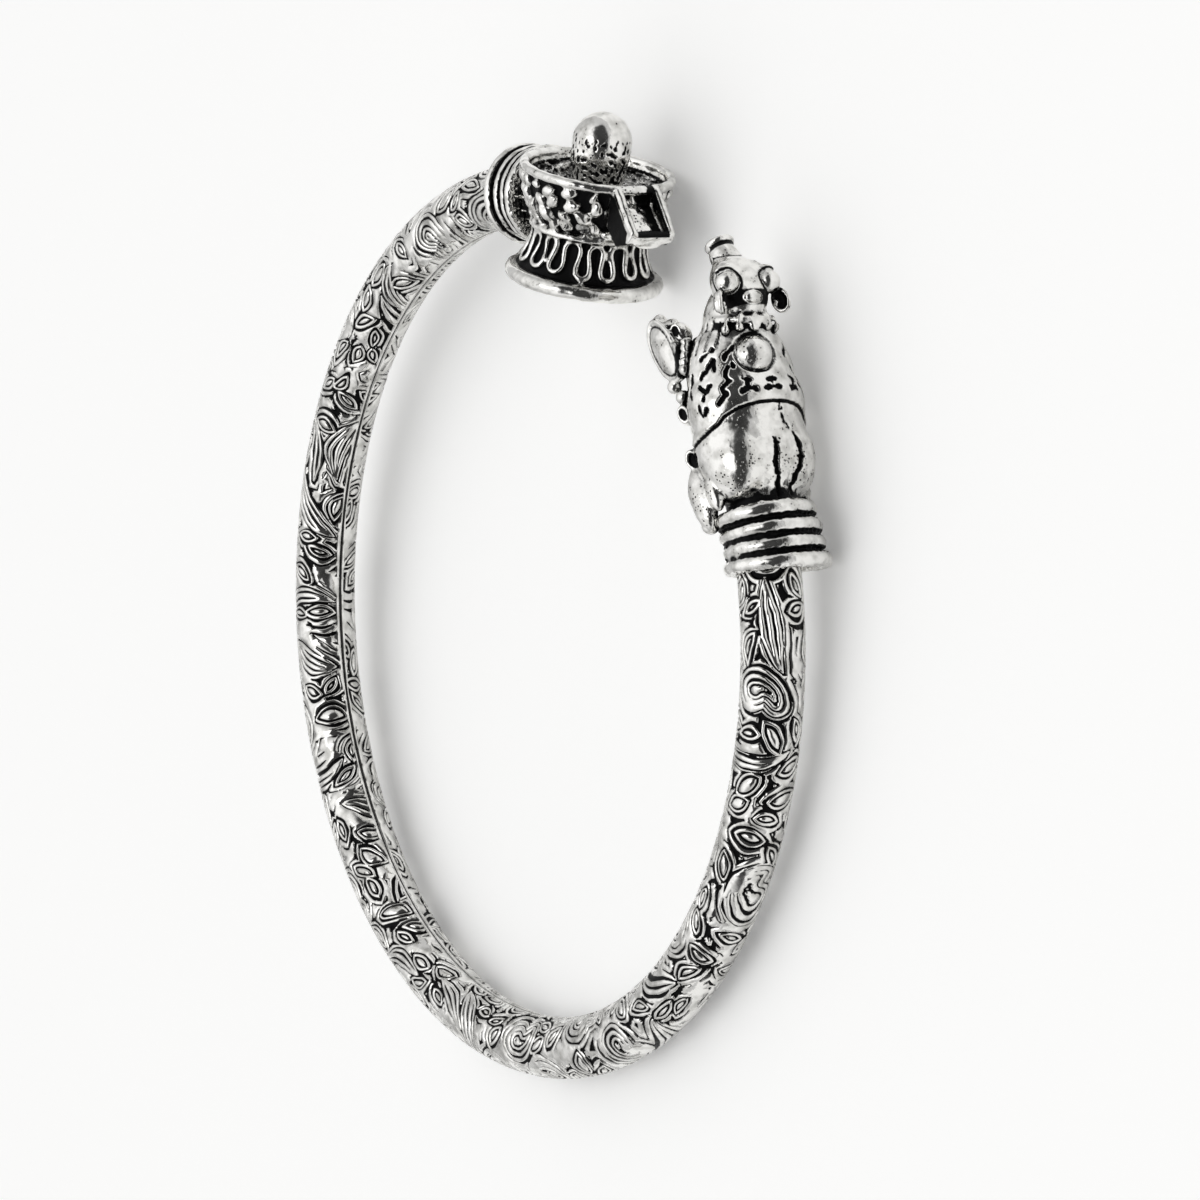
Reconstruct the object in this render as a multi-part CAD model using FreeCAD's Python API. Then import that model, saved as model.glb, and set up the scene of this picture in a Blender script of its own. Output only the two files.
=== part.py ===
# Kada bangle: an open hoop of silver tube that ends in two cast finials, a lingam on its
# yoni pedestal and a Nandi bull lying down, each behind a ribbed collar.
# Lengths are in millimetres, angles in degrees. The bangle lies on its side, +Z up, the
# gap between the finials faces -Y, and the origin is under the middle of its box.
# Bearings are angles about the hoop's centre, from +X and counter-clockwise from above.
import FreeCAD, Part
import math
import os
from FreeCAD import Matrix, Placement, Rotation, Vector

# Hoop
hoop_radius = 35.0
tube_radius = 2.56
tube_wall = 0.9
hoop_start_bearing = -58.5
hoop_end_bearing = 233.3

# Fits
slide_gap = 0.05
tang_gap = 0.18
tang_length = 3.0
tang_root = 0.5

# Collars: each rib is a rounded disc, from the hoop side to the finial. The bull's collar sits
# a little off the tube's centre, outwards and down
groove_radius = 3.5
rib_gap = 0.14
linga_ribs = [
    # thickness, outer radius, distance aside
    (1.0, 4.2, 0.0),
    (0.85, 3.95, 0.0),
    (0.85, 3.95, 0.0),
    (0.95, 4.1, 0.0),
]
nandi_ribs = [
    (1.15, 4.35, -0.6),
    (1.12, 4.12, -0.45),
    (1.12, 4.1, -0.3),
    (1.15, 4.15, 0.0),
]
nandi_offset = 0.5

# Yoni pedestal, on an axis that points away from the wrist, with heights from the hoop's
# centre line
linga_bearing = -69.2
base_height = -6.25
base_radius = 6.5
base_flange_thickness = 1.3
skirt_foot_radius = 5.75
skirt_middle_radius = 4.95
skirt_middle_height = -3.225
waist_height = -1.5
waist_radius = 4.75
bowl_belly_radius = 5.6
bowl_belly_height = 0.3
rim_height = 3.2
rim_radius = 6.1
rim_wire_radius = 0.36
rim_outer_radius = 6.316
dish_wall_radius = 5.3
dish_floor_radius = 4.4
dish_depth = 1.2
dish_wall_rise = 0.3
neck_radius = 2.9
neck_overlap = 0.8

# Spout of the dish: a channel that runs out towards the bull and down, closed at its lip
spout_width = 4.2
spout_wall = 0.55
spout_edge_rounding = 0.3
spout_rounded_from = 7.2
spout_outline = [
    # reach from the dish's axis, height
    (4.9, 3.0),
    (6.1, 3.2),
    (9.3, 0.3),
    (8.8, -1.06),
    (7.3, -1.35),
    (4.9, 0.5),
]
channel_outline = [
    # reach from the dish's axis, height
    (4.9, 4.2),
    (6.1, 4.2),
    (8.88, 1.6),
    (8.23, 0.42),
    (5.9, 2.15),
    (4.6, 2.2),
]

# Lingam, an egg set in a socket of the dish
lingam_radius = 2.45
lingam_waist_radius = 1.95
lingam_height = 6.05
lingam_side_radius = 2.37
lingam_side_height = 1.815
socket_depth = 1.0
socket_radius = 1.8

# Bull, along the hoop's tangent where the tube ends. Sizes of its rounded masses are half-axes
# along the body, across it, and up from the belly. Places are ahead, aside and up
bull_masses = [
    # name, (ahead, aside, up), (half-length, half-width, half-height), pitch
    ("rump", (4.9, 0.0, -0.1), (5.6, 5.05, 3.95), 0.0),
    ("loins", (8.3, 0.0, 0.0), (4.5, 4.8, 3.9), 0.0),
    ("shoulders", (10.6, 0.0, -0.1), (5.2, 4.25, 3.6), 0.0),
    ("neck", (14.2, 0.0, 0.5), (4.2, 2.75, 2.7), -12.0),
    ("skull", (17.4, 0.0, 1.9), (3.2, 2.3, 2.1), 22.0),
    ("muzzle", (19.9, 0.0, 0.9), (2.6, 1.35, 1.3), 26.0),
    ("belly", (7.8, 0.0, -1.9), (7.4, 3.9, 2.7), 0.0),
]
bull_pairs = [
    # built on both sides of the body
    ("thigh", (1.8, 4.05, -1.8), (3.1, 1.15, 1.6), 12.0),
    ("hind_hoof", (4.5, 4.1, -2.2), (1.0, 0.85, 1.0), 0.0),
    ("small_hoof", (8.9, 4.0, -2.9), (0.95, 0.8, 0.9), 0.0),
    ("forearm", (13.6, 3.95, -3.5), (3.3, 1.1, 1.7), 28.0),
    ("ear", (15.6, 2.6, 2.5), (1.1, 0.6, 0.75), -30.0),
]
hump_place = (11.6, 0.0, 2.7)
hump_radius = 1.65
eye_place = (17.3, 1.75, 3.2)
eye_radius = 0.8
lip_place = (21.4, 0.0, 0.25)
lip_radius = 1.2
lip_thickness = 0.8
lip_pitch = 20.0
tail_place = (3.1, 0.0, 3.0)
tail_size = (2.9, 0.75, 0.55)
stub_radius = 3.3
stub_length = 1.4

block_size = 20.0
overcut = 3.0
diagonal = math.sqrt(0.5)

# Rest: the bangle leans on both finials and on the far side of the hoop
rest_tilt = 3.605
rest_bearing = 131.56


def on_hoop(bearing, radius=hoop_radius):
    """Point on a circle about the hoop's centre."""
    angle = math.radians(bearing)
    return Vector(radius * math.cos(angle), radius * math.sin(angle), 0)


def along_hoop(bearing, radius=hoop_radius, backwards=False):
    """Place whose X runs along the hoop and whose Z points away from the wrist."""
    outward = on_hoop(bearing, 1.0)
    ahead = Vector(-outward.y, outward.x, 0)
    if backwards:
        ahead = ahead * -1
    turn = Rotation(ahead, outward.cross(ahead), outward, "ZXY")
    return Placement(on_hoop(bearing, radius), turn)


def disc(radius, start, length):
    """Cylinder along X."""
    return Part.makeCylinder(radius, length, Vector(start, 0, 0), Vector(1, 0, 0))


def bent_rod(radius, start_bearing, end_bearing, centre_radius=hoop_radius):
    """Solid rod that follows the hoop."""
    section = Part.Wire(Part.makeCircle(radius, Vector(centre_radius, 0, 0), Vector(0, 1, 0)))
    rod = Part.Face(section).revolve(Vector(), Vector(0, 0, 1), end_bearing - start_bearing)
    rod.rotate(Vector(), Vector(0, 0, 1), start_bearing)
    return rod


def egg(place, size, pitch=0.0):
    """Ellipsoid from its centre and half-axes, its front end turned down by the pitch."""
    ball = Part.makeSphere(1.0)
    stretch = Matrix()
    stretch.scale(Vector(*size))
    ball = ball.transformGeometry(stretch)
    ball.rotate(Vector(), Vector(0, 1, 0), pitch)
    ball.translate(Vector(*place))
    return ball


def rounded_disc(radius, start, thickness):
    """Disc along X with a full round edge."""
    edge = thickness / 2
    middle = Vector(start + edge, 0, 0)
    ring = Part.makeTorus(radius - edge, edge, middle, Vector(1, 0, 0))
    return disc(radius - edge, start, thickness).fuse(ring)


def cutting_block(side):
    """Box ahead of the YZ plane, or behind it where side is -1."""
    low = min(0, side * block_size)
    corner = Vector(low, -block_size / 2, -block_size / 2)
    return Part.makeBox(block_size, block_size, block_size, corner)


def make_hoop():
    rod = bent_rod(tube_radius, hoop_start_bearing, hoop_end_bearing)
    bore = bent_rod(
        tube_radius - tube_wall, hoop_start_bearing - overcut, hoop_end_bearing + overcut
    )
    return rod.cut(bore)


def make_collar(ribs, end_bearing, offset, backwards):
    """Ribbed ring round the tube's end, each rib square to the tube where it sits."""
    centre_radius = hoop_radius + offset
    side = -1 if backwards else 1
    length = sum(thickness for thickness, radius, aside in ribs) + rib_gap * (len(ribs) - 1)
    span = side * math.degrees(length / centre_radius)
    first_bearing = end_bearing - span
    inset = side * math.degrees(ribs[0][0] / 2 / centre_radius)
    low, high = sorted([first_bearing + inset, end_bearing - inset])
    collar = bent_rod(groove_radius, low, high, centre_radius)
    reached = 0.0
    for thickness, radius, aside in ribs:
        bearing = first_bearing + side * math.degrees((reached + thickness / 2) / centre_radius)
        rib = rounded_disc(radius, -thickness / 2, thickness)
        rib.translate(Vector(0, aside, 0))
        rib = rib.transformed(along_hoop(bearing, centre_radius, backwards).toMatrix())
        collar = collar.fuse(rib)
        reached += thickness + rib_gap
    low, high = sorted([first_bearing - overcut * side, end_bearing + overcut * side])
    collar = collar.cut(bent_rod(tube_radius + slide_gap, low, high))
    # The finial's flat back face ends the collar
    block = cutting_block(1)
    block.Placement = along_hoop(end_bearing, hoop_radius, backwards)
    return collar.cut(block)


def make_tang():
    """Pin along -X that enters the tube's bore."""
    return disc(tube_radius - tube_wall - tang_gap, -tang_length, tang_length + tang_root)


def make_pedestal_body():
    """Flange, skirt, waist, bowl and dish, turned about the pedestal's axis."""
    flange_top = base_height + base_flange_thickness
    flange_edge = base_flange_thickness / 2
    rim_inside = rim_radius - rim_wire_radius
    floor_height = rim_height - dish_depth
    socket_bottom = floor_height - socket_depth

    def point(radius, height):
        return Vector(radius, 0, height)

    flange_arc = Part.Arc(
        point(base_radius - flange_edge, base_height),
        point(base_radius, base_height + flange_edge),
        point(base_radius - flange_edge, flange_top),
    )
    skirt_arc = Part.Arc(
        point(skirt_foot_radius, flange_top),
        point(skirt_middle_radius, skirt_middle_height),
        point(waist_radius, waist_height),
    )
    bowl_arc = Part.Arc(
        point(waist_radius, waist_height),
        point(bowl_belly_radius, bowl_belly_height),
        point(rim_outer_radius, rim_height - rim_wire_radius),
    )
    rim_arc = Part.Arc(
        point(rim_outer_radius, rim_height - rim_wire_radius),
        point(rim_radius, rim_height + rim_wire_radius),
        point(rim_inside, rim_height - rim_wire_radius),
    )
    corners = [
        point(rim_inside, rim_height - rim_wire_radius),
        point(dish_wall_radius, floor_height + dish_wall_rise),
        point(dish_floor_radius, floor_height),
        point(socket_radius + slide_gap, floor_height),
        point(socket_radius + slide_gap, socket_bottom),
        point(0, socket_bottom),
        point(0, base_height),
        point(base_radius - flange_edge, base_height),
    ]
    edges = [Part.LineSegment(a, b).toShape() for a, b in zip(corners, corners[1:])]
    edges += [arc.toShape() for arc in (flange_arc, skirt_arc, bowl_arc, rim_arc)]
    edges.append(
        Part.makeLine(
            point(base_radius - flange_edge, flange_top), point(skirt_foot_radius, flange_top)
        )
    )
    outline = Part.Wire(Part.sortEdges(edges)[0])
    return Part.Face(outline).revolve(Vector(), Vector(0, 0, 1), 360)


def side_prism(points, width):
    """Outline in the XZ plane, made solid across Y."""
    outline = Part.makePolygon([Vector(x, -width / 2, z) for x, z in points + points[:1]])
    return Part.Face(outline).extrude(Vector(0, width, 0))


def make_spout():
    body = side_prism(spout_outline, spout_width)
    across = [edge for edge in body.Edges if edge.BoundBox.YLength > spout_width / 2]
    front = [edge for edge in across if edge.BoundBox.XMin > spout_rounded_from]
    return body.makeFillet(spout_edge_rounding, front)


def make_pedestal():
    seat = along_hoop(linga_bearing, backwards=True)
    channel = side_prism(channel_outline, spout_width - 2 * spout_wall)
    pedestal = make_pedestal_body().fuse(make_spout()).cut(channel)
    pedestal.Placement = seat
    back = along_hoop(hoop_start_bearing, backwards=True)
    reach = back.Base.distanceToPoint(seat.Base) - waist_radius + neck_overlap
    neck = disc(neck_radius, 0, reach).fuse(make_tang())
    neck.Placement = back
    return pedestal.fuse(neck).removeSplitter()


def make_lingam():
    floor_height = rim_height - dish_depth
    middle = floor_height + lingam_height - lingam_radius
    dome = Part.Arc(
        Vector(0, 0, floor_height + lingam_height),
        Vector(lingam_radius * diagonal, 0, middle + lingam_radius * diagonal),
        Vector(lingam_radius, 0, middle),
    )
    side = Part.Arc(
        Vector(lingam_radius, 0, middle),
        Vector(lingam_side_radius, 0, floor_height + lingam_side_height),
        Vector(lingam_waist_radius, 0, floor_height),
    )
    corners = [
        Vector(lingam_waist_radius, 0, floor_height),
        Vector(socket_radius, 0, floor_height),
        Vector(socket_radius, 0, floor_height - socket_depth),
        Vector(0, 0, floor_height - socket_depth),
        Vector(0, 0, floor_height + lingam_height),
    ]
    edges = [dome.toShape(), side.toShape()]
    edges += [Part.makeLine(a, b) for a, b in zip(corners, corners[1:])]
    outline = Part.Wire(Part.sortEdges(edges)[0])
    lingam = Part.Face(outline).revolve(Vector(), Vector(0, 0, 1), 360)
    lingam.Placement = along_hoop(linga_bearing, backwards=True)
    return lingam


def make_bull():
    """Rounded masses joined in one casting, with a flat back face and a tang."""
    bull = disc(stub_radius, 0, stub_length)
    for name, place, size, pitch in bull_masses:
        bull = bull.fuse(egg(place, size, pitch))
    for name, (ahead, aside, up), size, pitch in bull_pairs:
        for side in (1, -1):
            bull = bull.fuse(egg((ahead, side * aside, up), size, pitch))
    for side in (1, -1):
        eye = Part.makeSphere(eye_radius, Vector(eye_place[0], side * eye_place[1], eye_place[2]))
        bull = bull.fuse(eye)
    bull = bull.fuse(Part.makeSphere(hump_radius, Vector(*hump_place)))
    bull = bull.fuse(egg(tail_place, tail_size))
    lip = rounded_disc(lip_radius, 0, lip_thickness)
    lip.rotate(Vector(), Vector(0, 1, 0), lip_pitch)
    lip.translate(Vector(*lip_place))
    bull = bull.fuse(lip)
    bull = bull.cut(cutting_block(-1))
    seat = along_hoop(hoop_end_bearing, hoop_radius + nandi_offset)
    bull.Placement = seat
    tang = make_tang()
    tang.Placement = along_hoop(hoop_end_bearing)
    return bull.fuse(tang).removeSplitter()


def lay_down(shapes):
    """Tilt everything to its rest, then stand it on z = 0 over the origin."""
    bearing = math.radians(rest_bearing)
    axis = Vector(-math.sin(bearing), math.cos(bearing), 0)
    for shape in shapes:
        shape.rotate(Vector(), axis, rest_tilt)
    box = shapes[0].optimalBoundingBox(False)
    for shape in shapes[1:]:
        box.add(shape.optimalBoundingBox(False))
    shift = Vector(-box.Center.x, -box.Center.y, -box.ZMin)
    for shape in shapes:
        shape.translate(shift)
    return shift


nodes = {
    "hoop": make_hoop(),
    "linga_collar": make_collar(linga_ribs, hoop_start_bearing, 0.0, True),
    "yoni_pedestal": make_pedestal(),
    "lingam": make_lingam(),
    "nandi_collar": make_collar(nandi_ribs, hoop_end_bearing, nandi_offset, False),
    "nandi_bull": make_bull(),
}
shift = lay_down(list(nodes.values()))
print("hoop centre moved to", [round(value, 3) for value in shift])

os.makedirs("parts", exist_ok=True)
for name, shape in nodes.items():
    shape.exportStep(f"parts/{name}.step")
    print(name, "volume", round(shape.Volume, 1), "solids", len(shape.Solids), shape.isValid())
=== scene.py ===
import math
import random
import bpy
import numpy as np
from mathutils import Matrix, Vector, geometry
from mathutils.bvhtree import BVHTree


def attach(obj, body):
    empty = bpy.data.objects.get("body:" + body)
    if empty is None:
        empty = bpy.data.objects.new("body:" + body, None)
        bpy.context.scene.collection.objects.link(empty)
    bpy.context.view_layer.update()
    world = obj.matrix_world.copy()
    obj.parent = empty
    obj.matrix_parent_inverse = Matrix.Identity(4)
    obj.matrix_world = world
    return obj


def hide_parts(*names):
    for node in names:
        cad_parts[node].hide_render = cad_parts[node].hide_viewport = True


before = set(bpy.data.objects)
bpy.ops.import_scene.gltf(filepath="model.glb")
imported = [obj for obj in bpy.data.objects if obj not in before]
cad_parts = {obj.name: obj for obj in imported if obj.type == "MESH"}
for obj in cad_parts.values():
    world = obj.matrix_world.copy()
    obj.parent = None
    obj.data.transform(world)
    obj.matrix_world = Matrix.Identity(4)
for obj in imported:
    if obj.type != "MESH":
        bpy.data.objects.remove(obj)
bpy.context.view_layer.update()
mm = 0.001

# The bangle: an open hoop of engraved tube, oxidised silver, with two cast finials.
# Chart lengths are in millimetres, and every piece is put in its place in metres.
hoopSize = {
    "radius": 35.0,
    "tube": 2.545,
    "start": -58.5,  # degrees, where the tube ends at the pedestal
    "end": 233.3,  # degrees, where it ends at the bull
    "centre": (0.0, 2.585, 4.761),
    "tilt": 3.605,
    "tiltBearing": 131.56,
}


def tiltedHoop():
    bearing = math.radians(hoopSize["tiltBearing"])
    axis = Vector((-math.sin(bearing), math.cos(bearing), 0))
    lean = Matrix.Rotation(math.radians(hoopSize["tilt"]), 4, axis)
    return Matrix.Translation(Vector(hoopSize["centre"])) @ lean


lying = tiltedHoop()


def alongHoop(bearing, radius, backwards=False):
    # X runs along the hoop, Z points away from the wrist
    angle = math.radians(bearing)
    outward = Vector((math.cos(angle), math.sin(angle), 0))
    ahead = Vector((-outward.y, outward.x, 0)) * (-1 if backwards else 1)
    across = outward.cross(ahead)
    turn = Matrix((ahead, across, outward)).transposed().to_4x4()
    return lying @ Matrix.Translation(outward * radius) @ turn


# Small helpers

def colour(hexText):
    # sRGB hex to the linear colour a shader takes
    channels = [int(hexText[i:i + 2], 16) / 255 for i in (1, 3, 5)]
    return [c / 12.92 if c <= 0.04045 else ((c + 0.055) / 1.055) ** 2.4 for c in channels] + [1.0]


def addNode(tree, kind, links=None, **settings):
    # a link is a plain value, a socket, or a node for its first output
    node = tree.nodes.new("ShaderNode" + kind)
    for key, value in settings.items():
        setattr(node, key, value)
    for name, value in (links or {}).items():
        if isinstance(value, bpy.types.Node):
            value = value.outputs[0]
        if isinstance(value, bpy.types.NodeSocket):
            tree.links.new(value, node.inputs[name])
        else:
            node.inputs[name].default_value = value
    return node


softEnds = {"interpolation_type": "SMOOTHSTEP"}


def between(ends):
    return {"From Min": ends[0], "From Max": ends[1]}


def newMaterial(name):
    material = bpy.data.materials.new(name)
    material.use_nodes = True
    material.node_tree.nodes.clear()
    return material, material.node_tree


def selectOnly(*pieces):
    bpy.ops.object.select_all(action="DESELECT")
    for piece in pieces:
        piece.select_set(True)
    bpy.context.view_layer.objects.active = pieces[0]


def meshPiece(name, points, faces, edges=()):
    mesh = bpy.data.meshes.new(name)
    mesh.from_pydata(points, edges, faces)
    piece = bpy.data.objects.new(name, mesh)
    bpy.context.collection.objects.link(piece)
    return piece


def editAll(piece):
    selectOnly(piece)
    bpy.ops.object.mode_set(mode="EDIT")
    bpy.ops.mesh.select_all(action="SELECT")


def closeEdit():
    # leaves edit mode with all faces turned outwards
    bpy.ops.mesh.select_all(action="SELECT")
    bpy.ops.mesh.normals_make_consistent(inside=False)
    bpy.ops.object.mode_set(mode="OBJECT")


def setAttribute(piece, name, values):
    attribute = piece.data.attributes.new(name, "FLOAT", "POINT")
    attribute.data.foreach_set("value", np.asarray(values, np.float32))


def dressed(piece, material, node):
    piece.data.materials.clear()
    piece.data.materials.append(material)
    selectOnly(piece)
    bpy.ops.object.shade_smooth()
    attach(piece, "root")
    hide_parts(node)
    piece.data.calc_loop_triangles()
    print(piece.name, len(piece.data.loop_triangles), "triangles")


def ripple(x, y, size, rng, waves=7):
    # smooth random field of about -1 to 1, its waves no shorter than size
    total = 0
    for k in range(waves):
        turn = rng.uniform(0, math.tau)
        wave = math.tau / (size * rng.uniform(1.0, 2.2))
        along = (x * math.cos(turn) + y * math.sin(turn)) * wave
        total = total + np.sin(along + rng.uniform(0, math.tau))
    return total / math.sqrt(waves / 2) / 1.6


# Silver 925, cast or rolled, blackened with liver of sulphur and polished back: bright and
# slightly scratched where the wheel reached, matt black where it did not

silverLook = {
    "bright": "#EFEEEB",
    "worn": "#BDBCB8",  # in the dull clouds
    "haze": "#8B8B89",  # round the black
    "black": "#060607",
    "rough": (0.13, 0.55),  # where it is bright and where it is black
    "metallic": (1.0, 0.8),
    "mottle": 1.1,  # mm, size of the dull clouds
    "swell": 0.8,  # mm, size of the dents of the polishing wheel
    "grain": 0.22,  # mm, size of the grain that frays the black's edge
    "pit": 0.28,  # mm, spacing of the casting pits, drawn coarser than real to show
    "fray": 0.55,
    "blackEdge": (0.30, 0.62),  # oxide, and the painted shade in the pedestal's spout, where each of these sets in and where it is full
    "hazeEdge": (0.07, 0.42),
    "dullEdge": (0.42, 0.7),
    "pitEdge": (0.34, 0.2),
    "pitPatch": (0.66, 0.80),
}


def silverMaterial(name, dents):
    look = silverLook
    material, tree = newMaterial(name)
    place = addNode(tree, "TexCoord").outputs["Object"]
    # this attribute holds oxide, and also the painted shade inside the pedestal's spout
    oxideAndShade = addNode(tree, "Attribute", attribute_name="oxideAndShade").outputs["Fac"]
    pitting = addNode(tree, "Attribute", attribute_name="pitting").outputs["Fac"]
    grain = addNode(tree, "TexNoise", {"Vector": place, "Scale": 1 / (look["grain"] * mm), "Detail": 3.0})
    cloud = addNode(tree, "TexNoise", {"Vector": place, "Scale": 1 / (look["mottle"] * mm), "Detail": 2.0})
    swell = addNode(tree, "TexNoise", {"Vector": place, "Scale": 1 / (look["swell"] * mm), "Detail": 1.0})
    cells = addNode(tree, "TexVoronoi", {"Vector": place, "Scale": 1 / (look["pit"] * mm)})
    # the black breaks up at its edge
    rough = addNode(tree, "Math", {0: grain, 1: 0.5}, operation="SUBTRACT")
    edge = addNode(tree, "Math", {0: rough, 1: look["fray"], 2: oxideAndShade}, operation="MULTIPLY_ADD")
    black = addNode(tree, "MapRange", {"Value": edge, **between(look["blackEdge"])}, **softEnds)
    # casting pits, in patches
    pit = addNode(tree, "MapRange", {"Value": cells, **between(look["pitEdge"])}, **softEnds)
    likely = addNode(tree, "Math", {0: pitting, 1: 0.35, 2: cloud}, operation="MULTIPLY_ADD")
    patch = addNode(tree, "MapRange", {"Value": likely, **between(look["pitPatch"])}, **softEnds)
    pitted = addNode(tree, "Math", {0: pit, 1: patch}, operation="MULTIPLY")
    dark = addNode(tree, "Math", {0: black, 1: pitted}, operation="MAXIMUM")
    dull = addNode(tree, "MapRange", {"Value": cloud, **between(look["dullEdge"])})
    smoke = addNode(tree, "MapRange", {"Value": edge, **between(look["hazeEdge"]), "To Max": 0.8})
    tone = colour(look["bright"])
    for share, shade in ((dull, "worn"), (smoke, "haze"), (dark, "black")):
        mix = addNode(tree, "Mix", {0: share, 6: tone, 7: colour(look[shade])}, data_type="RGBA")
        tone = mix.outputs[2]
    shine, metal = (addNode(tree, "MapRange", {"Value": dark, "To Min": polished, "To Max": blackened})
                    for polished, blackened in (look["rough"], look["metallic"]))
    # soft hammering left by the polishing wheel, the fine grain over it, and the pits
    height = addNode(tree, "Math", {0: grain, 1: 0.15, 2: swell}, operation="MULTIPLY_ADD")
    sunk = addNode(tree, "Math", {0: pitted, 1: -0.6, 2: height}, operation="MULTIPLY_ADD")
    bump = addNode(tree, "Bump", {"Height": sunk, "Strength": 0.5, "Distance": dents * mm})
    shader = addNode(tree, "BsdfPrincipled",
                     {"Base Color": tone, "Metallic": metal, "Roughness": shine, "Normal": bump})
    addNode(tree, "OutputMaterial", {"Surface": shader})
    return material


engravedSilver = silverMaterial("engravedSilver", dents=0.03)
castSilver = silverMaterial("castSilver", dents=0.09)
print("silver mixed")


# Engraved hoop. The tube's skin is charted flat: x runs along the tube from the pedestal, y goes
# round it from the seam on the wrist's side. Below zero the chart is groove.

engraving = {
    "cell": 0.06,  # mm, grid of the chart
    "blocks": 7,  # stretches that are cut into faces one by one
    "pitch": 0.56,  # from one strand to the next, mm as all that follows
    "groove": 0.074,  # half the width of a usual groove
    "depth": 0.2,
    "topLevel": 0.035,  # chart values of a strand's upper edge and of its foot
    "footLevel": -0.02,
    "seamLine": 0.06,  # half the seam's width
    "seamMargin": 0.34,  # plain metal on each side of it
    "warp": (0.22, 4.0), "shake": (0.035, 1.1),  # the hand's unsteadiness: how much, over what length
    # how many at most, room kept between them, tries
    "strewn": {"scroll": (26, 0.35, 4000), "plume": (34, 0.08, 5000), "leaf": (260, 0.03, 30000)},
    "scrollSizes": (1.9, 2.7), "scrollCore": 0.36, "scrollReach": 2.1,
    "hook": (7, 2.1, 1.45),  # circles in a scroll's hooked drop, its bend in radians, its length
    "plumeSizes": (4.5, 8.0), "plumeWidths": (0.55, 1.0),
    "leafSizes": (1.9, 3.0), "leafWidths": (0.2, 0.28), "leafLine": 0.085,
    "reach": 2.8,  # how far round a motif its strands are drawn
    "echo": 1.12,  # pitch of the strands that follow an outline
    "thinnest": 0.035,  # a finer groove is left out
    "ground": (0.16, 0.1, 0.14),  # black ground: how near its motifs are, how that varies, half-width
    "slot": (0.34, 0.9, 0.11),  # short slots: from and to this far from a motif, half-width
    "facet": 0.62,  # size of the faces on plain ground
    "spare": 0.0145,  # how far a thinned outline may stray
    "seed": 5,
}
tubeLength = math.radians(hoopSize["end"] - hoopSize["start"]) * hoopSize["radius"]
tubeRound = math.tau * hoopSize["tube"]
farOff = 9.0


def turned(dx, dy, turn):
    return dx * math.cos(turn) + dy * math.sin(turn), dy * math.cos(turn) - dx * math.sin(turn)


def scrollShape(dx, dy, m):
    # a hooked drop with strands nested round it
    u, v = turned(dx, dy, m["turn"])
    v = v * m["hand"]
    core = m["size"] * engraving["scrollCore"]
    drop = np.hypot(u, v) - core
    circles, hookBend, hookLong = engraving["hook"]
    for k in range(1, circles + 1):
        share = k / circles
        bend, size = share * hookBend, core * (1 - share) ** 0.75 * 0.92 + 0.03
        hookX, hookY = core * hookLong * math.sin(bend), core * hookLong * (1 - math.cos(bend))
        drop = np.minimum(drop, np.hypot(u - hookX, v - hookY) - size)
    around = np.arctan2(v, u)
    strands = drop / engraving["pitch"] * (1 + 0.2 * np.cos(around - 1.2)) - 0.15
    gap = np.abs(strands - np.round(strands)) * engraving["pitch"]
    half = engraving["groove"] * (1.05 + 0.65 * np.sin(around * m["hand"] + m["size"] * 9))
    inner = np.abs(drop + m["rim"]) - 0.09
    if m["eye"]:
        inner = np.minimum(inner, np.hypot(u + core * 0.15, v) - 0.12)
    return drop - engraving["scrollReach"] * engraving["pitch"], np.where(drop > -0.12, gap - half, inner)


def plumeShape(dx, dy, m):
    # tapered strokes that sweep together along a bent spine
    u, v = turned(dx, dy, m["turn"])
    t = u / (m["size"] / 2)
    v = v - m["bend"] * (t ** 2 - 0.4) - m["sway"] * (t ** 3 - t * 0.6)
    wide = m["wide"] * np.clip(1 - np.abs(t) ** 2.2, 0.0, 1) ** 0.8
    outline = np.maximum(np.abs(v) - wide, np.abs(u) - m["size"] / 2)
    lines = v / np.maximum(wide, 0.05) * m["wide"] / engraving["pitch"] + m["phase"]
    gap = np.abs(lines - np.round(lines)) * engraving["pitch"] * np.clip(wide / m["wide"], 0.2, 1)
    taper = np.clip(1.08 - np.abs(t) ** 1.5, 0, 1)
    half = engraving["groove"] * (1.5 * taper - 0.35 + 0.25 * np.sin(np.round(lines) * 2.4 + t * 3))
    return outline, gap - half


def leafShape(dx, dy, m):
    # pointed leaf, two arcs, with a dark slot inside its rim
    u, v = turned(dx, dy, m["turn"])
    half, wide = m["size"] / 2, m["size"] * m["wide"]
    v = v + m["bend"] * (u / half) ** 2
    arc = (half ** 2 + wide ** 2) / (2 * wide)
    outline = np.hypot(u, np.abs(v) + arc - wide) - arc
    tip = np.hypot(np.abs(u) - half, v)
    outline = np.where(np.abs(u) > half, np.maximum(outline, tip * 0.85), outline)
    return outline, np.abs(outline + m["rim"]) - m["line"]


motifShapes = {"scroll": scrollShape, "plume": plumeShape, "leaf": leafShape}


motifRounds = {  # circles that cover a motif: place along it, share of its width
    "scroll": ((0, 1),),
    "leaf": ((-0.6, 0.55), (0, 0.95), (0.6, 0.55)),
    "plume": [(t, (1 - abs(t) ** 2.2) ** 0.8 * 0.85) for t in (-0.85, -0.6, -0.3, 0, 0.3, 0.6, 0.85)],
}


def coveredBy(m):
    # the circles on the chart, to keep the next motif off this one
    spots = []
    c, s = math.cos(m["turn"]), math.sin(m["turn"])
    for t, share in motifRounds[m["kind"]]:
        u, v = t * m["size"] / 2, m["bend"] * (t * t - 0.4) + m["sway"] * (t ** 3 - t * 0.6)
        spots.append((m["x"] + u * c - v * s, m["y"] + u * s + v * c, m["cover"] * share))
    return spots


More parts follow.
